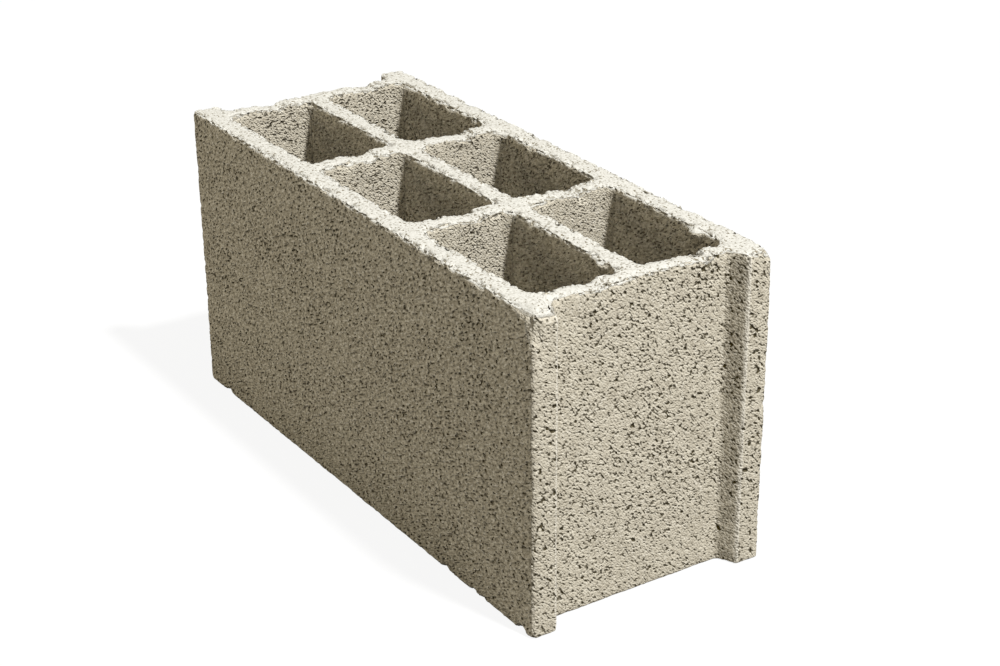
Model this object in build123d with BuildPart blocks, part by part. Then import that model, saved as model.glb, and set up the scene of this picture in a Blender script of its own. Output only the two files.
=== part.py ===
import os
from math import atan2, degrees

from build123d import *

# Overall sizes of the block as it stands on its closed face, in millimetres.
length = 500
width = 200
height = 245

# Six cells in three columns and two rows, open at the top.
columns = 3
rows = 2
shell_thickness = 19
spine_thickness = 17
web_thickness = 18
end_thickness = 16
floor_thickness = 15
cell_corner = 8
cell_draft = 2
floor_round_share = 0.7

# A pocket for mortar in each end, between two corner flanges with slanted flanks.
pocket_depth = 15
flange_thickness = 20
flank_run = 8
pocket_round = 4

# Worn edges of the casting.
arris_round = 2.5
rim_wear = 1.2

# Dips that the core bars leave in the tops of the webs and end walls, one line along each row of cells.
trace_depth = 6
trace_slope_run = 20
trace_step_run = 7
trace_offset = 10

# Sizes that follow from the ones above.
core_length = length - 2 * pocket_depth
cell_length = (core_length - 2 * end_thickness - (columns - 1) * web_thickness) / columns
cell_width = (width - 2 * shell_thickness - (rows - 1) * spine_thickness) / rows
cell_depth = height - floor_thickness
column_pitch = cell_length + web_thickness
row_pitch = cell_width + spine_thickness
draft_angle = degrees(atan2(cell_draft, cell_depth))
floor_round = floor_round_share * (cell_corner - cell_draft)
pocket_mouth = width - 2 * flange_thickness
pocket_back = pocket_mouth - 2 * flank_run

os.makedirs("parts", exist_ok=True)

with BuildPart() as block:
    # Plan of the block: a rectangle with a tapering pocket in each end.
    with BuildSketch() as plan:
        Rectangle(length, width)
        for side in (-1, 1):
            Polygon(
                (side * length / 2, -pocket_mouth / 2),
                (side * core_length / 2, -pocket_back / 2),
                (side * core_length / 2, pocket_back / 2),
                (side * length / 2, pocket_mouth / 2),
                align=None,
                mode=Mode.SUBTRACT,
            )
        pocket_corners = plan.vertices().filter_by_position(
            Axis.X, -core_length / 2, core_length / 2
        )
        fillet(pocket_corners, radius=pocket_round)
        flange_corners = (
            plan.vertices().group_by(Axis.X)[0] + plan.vertices().group_by(Axis.X)[-1]
        )
        fillet(flange_corners, radius=arris_round)
    extrude(amount=height)

    # Outer rims of the two bed faces, lightly worn.
    bed_rims = block.edges().group_by(Axis.Z)[0] + block.edges().group_by(Axis.Z)[-1]
    chamfer(bed_rims, length=rim_wear)

    # Cells, drafted so that the cores lift out, closed by a floor and worn at the mouth.
    with BuildSketch(Plane.XY.offset(height)) as mouths:
        with GridLocations(column_pitch, row_pitch, columns, rows):
            RectangleRounded(cell_length, cell_width, cell_corner)
    extrude(amount=-cell_depth, taper=draft_angle, mode=Mode.SUBTRACT)
    cell_floors = block.faces().filter_by(Axis.Z).group_by(Axis.Z)[1]
    fillet(cell_floors.edges(), radius=floor_round)
    cell_mouths = block.faces().filter_by(Axis.Z).sort_by(Axis.Z)[-1].inner_wires()
    chamfer(cell_mouths.edges(), length=rim_wear)

    # Core bar dips across the end walls and webs: a long slope down, then a steep step up.
    with BuildSketch(Plane.YZ.offset(-length / 2)) as traces:
        with Locations((0, height)):
            with GridLocations(row_pitch, 0, rows, 1):
                Polygon(
                    (trace_offset - trace_slope_run, 0),
                    (trace_offset, -trace_depth),
                    (trace_offset + trace_step_run, 0),
                    align=None,
                )
    extrude(amount=length, mode=Mode.SUBTRACT)

block.part.label = "hollow_block"
export_step(block.part, "parts/hollow_block.step")
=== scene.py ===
import math

import bmesh
import bpy
from mathutils import Matrix, Vector


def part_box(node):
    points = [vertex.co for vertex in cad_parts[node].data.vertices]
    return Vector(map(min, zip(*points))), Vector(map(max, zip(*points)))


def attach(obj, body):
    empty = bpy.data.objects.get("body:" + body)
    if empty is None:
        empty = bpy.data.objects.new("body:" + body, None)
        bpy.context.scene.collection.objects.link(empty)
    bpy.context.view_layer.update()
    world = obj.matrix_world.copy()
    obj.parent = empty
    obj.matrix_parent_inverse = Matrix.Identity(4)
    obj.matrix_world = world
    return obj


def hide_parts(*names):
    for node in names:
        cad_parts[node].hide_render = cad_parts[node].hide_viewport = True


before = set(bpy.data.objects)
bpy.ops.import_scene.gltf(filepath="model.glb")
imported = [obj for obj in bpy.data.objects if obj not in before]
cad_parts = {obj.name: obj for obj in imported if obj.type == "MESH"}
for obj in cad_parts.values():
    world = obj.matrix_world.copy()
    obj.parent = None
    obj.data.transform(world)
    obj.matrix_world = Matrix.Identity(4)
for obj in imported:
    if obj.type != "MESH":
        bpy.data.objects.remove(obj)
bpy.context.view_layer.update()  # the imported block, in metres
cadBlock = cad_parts["hollow_block"]
low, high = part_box("hollow_block")
scene = bpy.context.scene
mm = 0.001


class Wire:  # a socket that takes part in Python expressions
    def __init__(self, tree, socket=None):
        self.tree = tree
        self.socket = socket

    def node(self, kind, settings=None, sockets=None):  # any node: its type, settings, then values or links
        made = self.tree.nodes.new(kind)
        for name, value in (settings or {}).items():
            setattr(made, name, value)
        for key, value in (sockets or {}).items():
            if isinstance(value, Wire):
                self.tree.links.new(value.socket, made.inputs[key])
            else:
                made.inputs[key].default_value = value
        return made

    def take(self, made, key=0):
        return Wire(self.tree, made.outputs[key])

    def maths(self, operation, *values):
        return self.take(self.node("ShaderNodeMath", {"operation": operation}, dict(enumerate(values))))

    def __add__(self, other):
        return self.maths("ADD", self, other)

    def __radd__(self, other):
        return self.maths("ADD", other, self)

    def __sub__(self, other):
        return self.maths("SUBTRACT", self, other)

    def __rsub__(self, other):
        return self.maths("SUBTRACT", other, self)

    def __mul__(self, other):
        return self.maths("MULTIPLY", self, other)

    def __rmul__(self, other):
        return self.maths("MULTIPLY", other, self)

    def __abs__(self):
        return self.maths("ABSOLUTE", self)

    def most(self, other):
        return self.maths("MAXIMUM", self, other)

    def ramp(self, start, end):  # 0 at start, 1 at end, smooth between
        sockets = {0: self, 1: start, 2: end, 3: 0.0, 4: 1.0}
        return self.take(self.node("ShaderNodeMapRange", {"interpolation_type": "SMOOTHSTEP"}, sockets))

    def vector(self, operation, *values):
        made = self.node("ShaderNodeVectorMath", {"operation": operation}, dict(enumerate(values)))
        return self.take(made, 1 if operation in ("LENGTH", "DISTANCE") else 0)

    def scaled(self, factor):
        made = self.node("ShaderNodeVectorMath", {"operation": "SCALE"}, {0: self, "Scale": factor})
        return self.take(made)

    def axes(self):
        made = self.node("ShaderNodeSeparateXYZ", sockets={0: self})
        return [self.take(made, i) for i in range(3)]

    def noise(self, scale, detail=2.0, roughness=0.6):
        sockets = {"Vector": self, "Scale": scale, "Detail": detail, "Roughness": roughness}
        return self.take(self.node("ShaderNodeTexNoise", sockets=sockets))

    def spots(self, scale):  # noise of one size, with nothing finer in it
        return self.noise(scale, detail=0.0)

    def grains(self, scale):  # distance from the nearest grain's middle, and a chance for each grain
        made = self.node("ShaderNodeTexVoronoi", {"feature": "F1"}, {"Vector": self, "Scale": scale})
        return self.take(made, "Distance"), self.take(made, "Color").axes()[0]

    def mix(self, first, second):  # first and second are colours, this wire is the factor
        settings = {"data_type": "RGBA", "clamp_factor": True}
        return self.take(self.node("ShaderNodeMix", settings, {0: self, 6: first, 7: second}), 2)


# Where the core bars dragged the fresh concrete: a rough patch under each dip, on every web and end wall.

drag = {
    "rowMiddle": 44.75 * mm,  # middle of each row of cells, from the block's middle
    "offset": 8 * mm,  # the patch lies on the far side of that middle
    "halfWidth": 15 * mm,
    "fade": 12 * mm,
    "depth": 40 * mm,
    "fullDepth": 10 * mm,  # it is roughest down to here
}


def dragged(place):
    y, z = place.axes()[1:]
    fromDip = abs(abs(y - drag["offset"]) - drag["rowMiddle"])
    across = 1 - fromDip.ramp(drag["halfWidth"] - drag["fade"], drag["halfWidth"])
    return across * z.ramp(high.z - drag["depth"], high.z - drag["fullDepth"])


# The casting: the CAD solid again as one fine closed skin, with ragged rims, chips and rough dips.

casting = {
    "mergeGap": 0.01 * mm,  # points of the solid's faces that are this near are one
    "voxel": 1.2 * mm,  # size of the skin's facets before it is thinned
    "triangles": 190000,
    "rimAngle": math.radians(25),  # folds sharper than this are rims
    "rimReach": 4.5 * mm,
    "rimLoss": 0.5 * mm,
    "grains": 320,  # grains a metre along the rims
    "lost": (0.45, 0.75),  # the chances between which a grain comes away
    "grainLoss": 2.4 * mm,  # depth of a lost grain
    "grainRadius": 0.6,  # in grains
    "grainProud": 0.8 * mm,
    "nicks": 60,  # longer nicks between the grains, in a metre
    "nicked": (0.5, 0.72),
    "nickReach": 8 * mm,
    "nickDepth": 3.5 * mm,
    "cornerFrom": 10 * mm,  # the upright corners, this far in, keep their line better
    "cornerTo": 4 * mm,
    "cornerGrains": 0.25,  # how much of the wear above they have
    "cornerNicks": 0.2,
    "bedShare": 0.1,  # and how much of it the edges of the lower bed have
    "bedHeight": 30 * mm,
    "bedGap": 0.1 * mm,  # the lower bed stays this far off the floor
    "swells": 22,
    "swell": 1.2 * mm,
    "crumbs": 150,
    "crumble": 3 * mm,  # how rough the walls are under the dips
    "dipDepth": 6 * mm,
    "dipFill": 0.4,  # crumbs fill this share of the core bars' dips
    "dipFade": 18 * mm,  # the walls under a dip are lifted less and less down to here
}

# The worn top of the near flange: its edges are rounder than the rest, and the grains there are rubbed down.
wornFlange = {
    "at": (high.x, low.y + 12 * mm, high.z),
    "radius": 30 * mm,
    "reach": 11 * mm,
    "depth": 5 * mm,
    "smooth": 0.8,
    "denseRadius": 60 * mm,  # it has fewer pores this far down
    "densePores": 0.045,
}


def rubbed(place, radius):
    away = place.vector("DISTANCE", place, wornFlange["at"])
    return 1 - away.ramp(radius / 2, radius)


# Lumps that hang under the rim in the far corners of the two cells beside the near end.
lumps = [
    {"at": (188 * mm, 80 * mm, 238 * mm), "radius": 10 * mm, "height": 5 * mm},
    {"at": (198 * mm, -9 * mm, 239 * mm), "radius": 9 * mm, "height": 4 * mm},
]

# Bites out of corners and edges: where, which way they face, how deep and how round.
farEdge = (-1.0, -0.7, 0.0)  # out of the front's far upright edge
footEdge = (0.0, -0.6, -1.0)  # out of the front's lower edge
bites = [
    {"at": (high.x, high.y, high.z), "facing": (1.0, 1.0, 1.1), "depth": 7 * mm, "radius": 40 * mm},
    {"at": (low.x, low.y, high.z), "facing": (-1.0, -0.6, 1.0), "depth": 3 * mm, "radius": 25 * mm},
    {"at": (low.x, high.y, high.z), "facing": (-1.0, 0.8, 1.0), "depth": 4 * mm, "radius": 25 * mm},
    {"at": (low.x, low.y, low.z), "facing": (-1.0, -0.8, -1.0), "depth": 3 * mm, "radius": 20 * mm},
    {"at": (high.x, low.y, low.z), "facing": (0.5, -1.0, -1.0), "depth": 3 * mm, "radius": 15 * mm},
    {"at": (low.x, low.y, 196 * mm), "facing": farEdge, "depth": 2 * mm, "radius": 25 * mm},
    {"at": (low.x, low.y, 148 * mm), "facing": farEdge, "depth": 2 * mm, "radius": 20 * mm},
    {"at": (-216 * mm, low.y, low.z), "facing": footEdge, "depth": 4.5 * mm, "radius": 8 * mm},
    {"at": (136 * mm, low.y, low.z), "facing": footEdge, "depth": 3.5 * mm, "radius": 8 * mm},
    {"at": (174 * mm, low.y, low.z), "facing": footEdge, "depth": 3 * mm, "radius": 6 * mm},
    {"at": (186 * mm, low.y, low.z), "facing": footEdge, "depth": 2.5 * mm, "radius": 5 * mm},
    {"at": (235 * mm, low.y, low.z), "facing": footEdge, "depth": 6 * mm, "radius": 6.5 * mm},
]
broken = {"scale": 120, "rough": 4 * mm}  # the surface of bites, lumps and the worn flange


def mergedCopy(source, name):
    mesh = source.data.copy()
    mesh.name = name
    shape = bmesh.new()
    shape.from_mesh(mesh)
    bmesh.ops.remove_doubles(shape, verts=shape.verts, dist=casting["mergeGap"])
    shape.to_mesh(mesh)
    shape.free()
    made = bpy.data.objects.new(name, mesh)
    scene.collection.objects.link(made)
    return made


def rimLines(source):  # the outward folds of the solid and its four upright corners, as bare edges
    made = mergedCopy(source, "rimLines")
    shape = bmesh.new()
    shape.from_mesh(made.data)
    plain = [edge for edge in shape.edges if edge.calc_face_angle_signed(0.0) < casting["rimAngle"]]
    bmesh.ops.delete(shape, geom=plain, context="EDGES_FACES")
    bmesh.ops.delete(shape, geom=shape.faces[:], context="FACES_ONLY")
    for x in (low.x, high.x):
        for y in (low.y, high.y):
            shape.edges.new([shape.verts.new((x, y, z)) for z in (low.z, high.z)])
    shape.to_mesh(made.data)
    shape.free()
    return made


def evaluated(made, name):  # the object's mesh with its modifiers applied
    bpy.context.view_layer.update()
    mesh = bpy.data.meshes.new_from_object(made.evaluated_get(bpy.context.evaluated_depsgraph_get()))
    mesh.name = name
    return mesh


def reliefNodes(rims):
    tree = bpy.data.node_groups.new("castRelief", "GeometryNodeTree")
    for way in ("INPUT", "OUTPUT"):
        tree.interface.new_socket(name="Geometry", in_out=way, socket_type="NodeSocketGeometry")
    start = Wire(tree)
    skin = start.take(start.node("NodeGroupInput"))
    place = start.take(start.node("GeometryNodeInputPosition"))
    normal = start.take(start.node("GeometryNodeInputNormal"))
    x, y, height = place.axes()
    lines = start.take(start.node("GeometryNodeObjectInfo", sockets={"Object": rims}), "Geometry")
    near = start.node("GeometryNodeProximity", {"target_element": "EDGES"}, {0: lines})
    toRim = start.take(near, "Distance")
    rough = place.noise(broken["scale"]) - 0.5  # about nought

    # Grain by grain along the rims: some are lost, the others stand a little proud.
    middle, chance = place.grains(casting["grains"])
    loss = chance.ramp(*casting["lost"]) * casting["grainLoss"] + casting["rimLoss"]
    loss = loss - (casting["grainRadius"] - middle) * casting["grainProud"]
    nick = place.noise(casting["nicks"]).ramp(*casting["nicked"]) * casting["nickDepth"]
    upright = abs(x).ramp(high.x - casting["cornerFrom"], high.x - casting["cornerTo"])
    upright = upright * abs(y).ramp(high.y - casting["cornerFrom"], high.y - casting["cornerTo"])
    loss = loss * (1 - (1 - casting["cornerGrains"]) * upright)
    nick = nick * (1 - (1 - casting["cornerNicks"]) * upright)
    wear = loss * (1 - toRim.ramp(0.0, casting["rimReach"]))
    wear = wear + nick * (1 - toRim.ramp(0.0, casting["nickReach"]))
    onFlange = rubbed(place, wornFlange["radius"])
    rounding = onFlange * wornFlange["depth"] * (1 + rough)
    wear = wear * (1 - wornFlange["smooth"] * onFlange)
    wear = wear + rounding * (1 - toRim.ramp(0.0, wornFlange["reach"]))
    overBed = height.ramp(low.z, low.z + casting["bedHeight"])
    wear = wear * (casting["bedShare"] + (1 - casting["bedShare"]) * overBed)

    # Walls that aren't quite flat, rough under the dips, with a lump here and there.
    rise = (place.noise(casting["swells"]) - 0.5) * casting["swell"] - wear
    rise = rise + (place.noise(casting["crumbs"]) - 0.5) * casting["crumble"] * dragged(place)
    for lump in lumps:
        off = place.vector("DISTANCE", place, lump["at"])
        rise = rise + (1 - off.ramp(0.0, lump["radius"])) * lump["height"] * (1 + rough)
    moved = place.vector("ADD", place, normal.scaled(rise))
    sunk = high.z - height
    inDip = 1 - sunk.ramp(casting["dipDepth"], casting["dipFade"])
    lift = start.take(start.node("ShaderNodeCombineXYZ", sockets={2: sunk * inDip * casting["dipFill"]}))
    moved = moved.vector("ADD", moved, lift)

    for bite in bites:
        centre = Vector(bite["at"]) + Vector(bite["facing"]).normalized() * (bite["radius"] - bite["depth"])
        away = moved.vector("SUBTRACT", moved, centre)
        reach = bite["radius"] + rough * broken["rough"]
        push = (reach - away.vector("LENGTH", away)).most(0.0)
        moved = moved.vector("ADD", moved, away.vector("NORMALIZE", away).scaled(push))
    bed = (2 * low.x, 2 * low.y, low.z + casting["bedGap"])  # far past the sides, but not below the floor
    moved = moved.vector("MAXIMUM", moved, bed)
    placed = start.node("GeometryNodeSetPosition", sockets={"Geometry": skin, "Position": moved})
    start.node("NodeGroupOutput", sockets={0: start.take(placed)})
    return tree


def buildCasting():
    made = mergedCopy(cadBlock, "block_casting")
    remesh = made.modifiers.new("skin", "REMESH")
    remesh.mode = "VOXEL"
    remesh.voxel_size = casting["voxel"]
    skin = evaluated(made, "block_skin")
    made.modifiers.clear()
    made.data = skin
    print("skin:", len(skin.polygons), "quads")
    rims = rimLines(cadBlock)
    print("rims:", len(rims.data.edges), "edges")
    relief = made.modifiers.new("relief", "NODES")
    relief.node_group = reliefNodes(rims)
    thin = made.modifiers.new("thin", "DECIMATE")
    thin.ratio = min(1.0, casting["triangles"] / (2 * len(skin.polygons)))  # two triangles a quad
    final = evaluated(made, "block_casting")
    made.modifiers.clear()
    made.data = final
    bpy.data.objects.remove(rims)
    for polygon in final.polygons:
        polygon.use_smooth = True
    print("casting:", len(final.polygons), "triangles")
    return made


# Concrete: beige paste, sand, and open pores that gather in places, with painted shade in the pores, holes
# and gaps between grains, paler tops that are partly dust and partly a painted highlight, and a painted
# highlight on the flanges' inner edges.

concrete = {
    "paste": (0.45, 0.41, 0.325, 1),
    "sand": (0.68, 0.635, 0.525, 1),
    # painted shade: the dark of pores, holes and the gaps between grains
    "hollowShade": (0.045, 0.033, 0.007, 1),
    "topPoreShade": (0.22, 0.195, 0.145, 1),  # painted shade in the pores of the tops, paler than on the other faces
    # paler, greyer tops: partly dust, partly a painted highlight where the key falls full on them
    "dustAndHighlight": (0.59, 0.583, 0.538, 1),
    # pale crumbs, and the painted highlight on the flanges' inner edges
    "pale": (0.86, 0.825, 0.735, 1),
    "roughness": 0.95,
    "specular": 0.05,
    "sandScale": 600,  # grains a metre
    "sandRise": 0.7 * mm,
    "sandGap": (0.25, 0.6),  # the low ground between the grains, which gets painted shade
    "poreScale": 470,
    "poreFrom": 0.56,
    "poreDepth": 3.6 * mm,
    "poreShade": (0.635, 0.745),
    "holeScale": 290,
    "holeFrom": 0.62,
    "holeDepth": 6 * mm,
    "holeShade": (0.7, 0.77),
    "overhang": (0, 0, -0.3 * mm),  # the painted shade of a pore lies under its upper lip, where the lip's shadow falls
    "clumps": {95: 0.17, 20: 0.15},  # zones with more pores: how many a metre, and how much they count
    "dragPores": 0.06,  # more under the dips
    "turnPores": 0.6,  # fewer where one face turns into the next
    "crumbScale": 380,
    "crumbShown": (0.58, 0.74),
    "gritScale": 330,
    "wallGrit": 2.0,
    "toneScale": 60,
    "toneShare": 0.8,
    "dustAndHighlightShare": 0.92,
    "arris": 80 * mm,  # a painted highlight on the flanges' inner edges, as if the rounded arris caught the key; this far from the block's middle
    "arrisWidth": (0.4 * mm, 2 * mm),
    "arrisFrom": (243 * mm, 248 * mm),
    "arrisHighlight": 0.6,
    "arrisPores": 0.1,
    "topTurn": (0.6, 0.8),  # how far a face turns up or sideways to count as one
    "wallTurn": (0.92, 0.95),
    "flankTurn": (0.3, 0.6),
    "cellEnds": (221 * mm, 227 * mm),  # the cells lie within these, from the block's middle
    "cellSides": (83 * mm, 89 * mm),
}

# How the grain lies on each kind of face: its lean in degrees, and its size along the three axes.
lies = {
    "end": {"lean": (-46, 0, 0), "size": (1, 1.1, 0.78)},
    "wall": {"lean": (0, -25, 0), "size": (1.6, 1, 0.78)},
    "cellEnd": {"lean": (-46, 0, 0), "size": (0.8, 0.88, 0.68)},
    "cellWall": {"lean": (0, -25, 0), "size": (1.3, 0.8, 0.64)},
    "top": {"lean": (0, 0, 0), "size": (0.9, 0.9, 0.9)},
}

# How much painted shade each kind of face has in its hollows (the most on the walls and the flank, which lie
# in shade), how many pale crumbs show, and the depth of its relief.
faces = {
    "end": {"sand": 0.17, "pore": 0.72, "hole": 0.92, "crumb": 0.25, "relief": 1.0},
    "flank": {"sand": 0.6, "pore": 1.0, "hole": 1.0, "crumb": 0.25, "relief": 1.0},
    "wall": {"sand": 0.45, "pore": 1.0, "hole": 0.8, "crumb": 0.7, "relief": 1.5},
    "cellEnd": {"sand": 0.15, "pore": 0.6, "hole": 0.6, "crumb": 0.3, "relief": 1.1},
    "cellWall": {"sand": 0.25, "pore": 0.75, "hole": 0.55, "crumb": 0.4, "relief": 1.3},
    "top": {"sand": 0.3, "pore": 1.0, "hole": 0.7, "crumb": 0.0, "relief": 0.28},
}


def concreteMaterial():
    material = bpy.data.materials.new("blockConcrete")
    material.use_nodes = True
    tree = material.node_tree
    tree.nodes.clear()
    start = Wire(tree)
    coords = start.node("ShaderNodeTexCoord")
    place = start.take(coords, "Object")
    fromMiddle = [abs(axis) for axis in place.axes()]
    facing = start.take(coords, "Normal").axes()
    top = facing[2].ramp(*concrete["topTurn"])
    sideways = abs(facing[1])
    wall = sideways.ramp(*concrete["wallTurn"])
    inside = 1 - fromMiddle[1].ramp(*concrete["cellSides"])
    inCell = inside * (1 - fromMiddle[0].ramp(*concrete["cellEnds"]))
    masks = {
        # the flank, which the key only grazes, gets the most painted shade in its hollows
        "flank": inside * sideways.ramp(*concrete["flankTurn"]),
        "wall": wall,
        "cellEnd": inCell,
        "cellWall": inCell * wall,
        "top": top,
    }

    def byFace(name):
        value = faces["end"][name]
        for kind, mask in masks.items():
            value = value + mask * (faces[kind][name] - value)
        return value

    def lying(name):
        lean = [math.radians(angle) for angle in lies[name]["lean"]]
        sockets = {"Vector": place, "Rotation": lean, "Scale": lies[name]["size"]}
        return start.take(start.node("ShaderNodeMapping", {"vector_type": "TEXTURE"}, sockets))

    grain = lying("end")
    for kind in ("wall", "cellEnd", "cellWall", "top"):
        grain = masks[kind].mix(grain, lying(kind))
    under = grain.vector("ADD", grain, concrete["overhang"])

    # Where there are more pores, and where there are none.
    arris = 1 - abs(fromMiddle[1] - concrete["arris"]).ramp(*concrete["arrisWidth"])
    arris = arris * fromMiddle[0].ramp(*concrete["arrisFrom"])
    loose = concrete["dragPores"] * dragged(place) - concrete["arrisPores"] * arris
    loose = loose - wornFlange["densePores"] * rubbed(place, wornFlange["denseRadius"])
    for turn in (wall, top):  # where a face turns into the next, the grain is too drawn out for pores
        loose = loose - concrete["turnPores"] * turn * (1 - turn)
    for scale, share in concrete["clumps"].items():
        loose = loose + share * (place.noise(scale) - 0.5)

    # Pores and holes, as hollows in the bump and as painted shade.
    sand = grain.spots(concrete["sandScale"])
    pore = grain.spots(concrete["poreScale"]) + loose
    hole = grain.spots(concrete["holeScale"]) + loose
    poreShade = (under.spots(concrete["poreScale"]) + loose).ramp(*concrete["poreShade"])
    holeShade = (under.spots(concrete["holeScale"]) + loose).ramp(*concrete["holeShade"])
    # painted shade in the gaps between grains, the pores and the holes
    paintedShade = (1 - sand.ramp(*concrete["sandGap"])) * byFace("sand")
    paintedShade = paintedShade.most(poreShade * byFace("pore")).most(holeShade * byFace("hole"))
    height = concrete["sandRise"] * sand
    height = height - concrete["poreDepth"] * (pore - concrete["poreFrom"]).most(0.0)
    height = height - concrete["holeDepth"] * (hole - concrete["holeFrom"]).most(0.0)

    # Colour: paste and sand, pale crumbs, paler tops that are partly dust and partly a painted highlight, a
    # painted highlight on the flanges' inner edges, and painted shade in the hollows over them.
    grit = (grain.spots(concrete["gritScale"]) - 0.5) * (1 + concrete["wallGrit"] * wall)
    tone = 0.5 + concrete["toneShare"] * (place.noise(concrete["toneScale"]) - 0.5) + grit
    crumb = grain.spots(concrete["crumbScale"]).ramp(*concrete["crumbShown"])
    colour = tone.mix(concrete["paste"], concrete["sand"])
    colour = (crumb * byFace("crumb")).mix(colour, concrete["pale"])
    # tops paler and greyer: partly dust, partly a painted highlight
    colour = (top * concrete["dustAndHighlightShare"]).mix(colour, concrete["dustAndHighlight"])
    # painted highlight along the flanges' inner edges, which also have fewer pores
    colour = (arris * concrete["arrisHighlight"]).mix(colour, concrete["pale"])
    # painted shade over the hollows, paler on the tops
    colour = paintedShade.mix(colour, top.mix(concrete["hollowShade"], concrete["topPoreShade"]))

    hollows = {"Distance": 1.0, "Height": height * byFace("relief")}
    bump = start.take(start.node("ShaderNodeBump", sockets=hollows))
    surface = {
        "Base Color": colour,
        "Roughness": concrete["roughness"],
        "Specular IOR Level": concrete["specular"],
        "Normal": bump,
    }
    shader = start.take(start.node("ShaderNodeBsdfPrincipled", sockets=surface))
    start.node("ShaderNodeOutputMaterial", sockets={"Surface": shader})
    return material


# Stage: a white floor, one key lamp high over the near end, a wide low fill and a faint warm sky.

stage = {
    "white": (1, 1, 1, 1),
    "floorSide": 12.0,
    "floorMatt": (0.25, 0.24, 0.22, 1),  # what lights the block from below
    "floorPaper": (0.9, 0.9, 0.9, 1),  # what shows, with the block's shadow
    "floorWhite": 0.9,  # how far its shadow is washed out
    "sky": (0.26, 0.244, 0.216, 1),
    "middle": Vector((0, 0, 0.12)),  # what the lamps point at
    "key": {
        "from": Vector((0.49, 0.12, 0.86)),
        "away": 8.0,
        "size": 0.6,
        "power": 955,
        "colour": (1, 1, 1),
    },
    "fill": {
        "from": Vector((-0.7, -0.7, 0.2)),
        "away": 3.0,
        "size": 1.2,
        "power": 18,
        "colour": (1, 0.89, 0.64),
    },
}


def shownWhite(start, hidden, shown):  # what the camera and reflections see, apart from what lights the block
    rays = start.node("ShaderNodeLightPath")
    seen = start.take(rays, "Is Camera Ray").most(start.take(rays, "Is Glossy Ray"))
    seen = seen.most(start.take(rays, "Is Transmission Ray"))
    return start.take(start.node("ShaderNodeMixShader", sockets={0: seen, 1: hidden, 2: shown}))


def buildStage():
    shape = bmesh.new()
    bmesh.ops.create_grid(shape, x_segments=1, y_segments=1, size=stage["floorSide"] / 2)
    mesh = bpy.data.meshes.new("floor")
    shape.to_mesh(mesh)
    shape.free()
    floor = bpy.data.objects.new("floor", mesh)
    scene.collection.objects.link(floor)
    material = bpy.data.materials.new("floor")
    material.use_nodes = True
    material.node_tree.nodes.clear()
    start = Wire(material.node_tree)
    matt = start.take(start.node("ShaderNodeBsdfDiffuse", sockets={"Color": stage["floorMatt"]}))
    pale = start.take(start.node("ShaderNodeBsdfDiffuse", sockets={"Color": stage["floorPaper"]}))
    white = start.take(start.node("ShaderNodeEmission", sockets={"Color": stage["white"], "Strength": 1.0}))
    paper = start.take(start.node("ShaderNodeMixShader", sockets={0: stage["floorWhite"], 1: pale, 2: white}))
    start.node("ShaderNodeOutputMaterial", sockets={"Surface": shownWhite(start, matt, paper)})
    mesh.materials.append(material)

    world = bpy.data.worlds.new("studio")
    world.use_nodes = True
    world.node_tree.nodes.clear()
    start = Wire(world.node_tree)
    sky = start.take(start.node("ShaderNodeBackground", sockets={"Color": stage["sky"], "Strength": 1.0}))
    white = start.take(start.node("ShaderNodeBackground", sockets={"Color": stage["white"], "Strength": 1.0}))
    start.node("ShaderNodeOutputWorld", sockets={"Surface": shownWhite(start, sky, white)})
    scene.world = world

    for name in ("key", "fill"):
        lamp = stage[name]
        data = bpy.data.lights.new(name, "AREA")
        data.shape = "DISK"
        data.size = lamp["size"]
        data.energy = lamp["power"]
        data.color = lamp["colour"]
        made = bpy.data.objects.new(name, data)
        direction = lamp["from"].normalized()
        made.location = stage["middle"] + direction * lamp["away"]
        made.rotation_mode = "QUATERNION"
        made.rotation_quaternion = direction.to_track_quat("Z", "Y")
        scene.collection.objects.link(made)
    print("stage: floor, sky, key and fill")


# Camera: the photograph's own place, worked out from the block's edges.

view = {
    "place": Vector((1.2410, -0.7709, 0.7835)),
    "aim": Vector((0.0, 0.0380, 0.1024)),
    "roll": math.radians(-0.44),
    "lens": 73.97,
    "sensor": 36.0,
}


def buildCamera():
    data = bpy.data.cameras.new("photoView")
    data.lens = view["lens"]
    data.sensor_width = view["sensor"]
    camera = bpy.data.objects.new("photoView", data)
    turn = (view["place"] - view["aim"]).to_track_quat("Z", "Y").to_matrix().to_4x4()
    roll = Matrix.Rotation(view["roll"], 4, "Z")
    camera.matrix_world = Matrix.Translation(view["place"]) @ turn @ roll
    scene.collection.objects.link(camera)
    scene.camera = camera
    print("camera:", [round(v, 3) for v in camera.location])


block = buildCasting()
block.data.materials.clear()
block.data.materials.append(concreteMaterial())
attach(block, "root")
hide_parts("hollow_block")
buildStage()
buildCamera()
scene.view_settings.view_transform = "Standard"

bpy.context.view_layer.update()
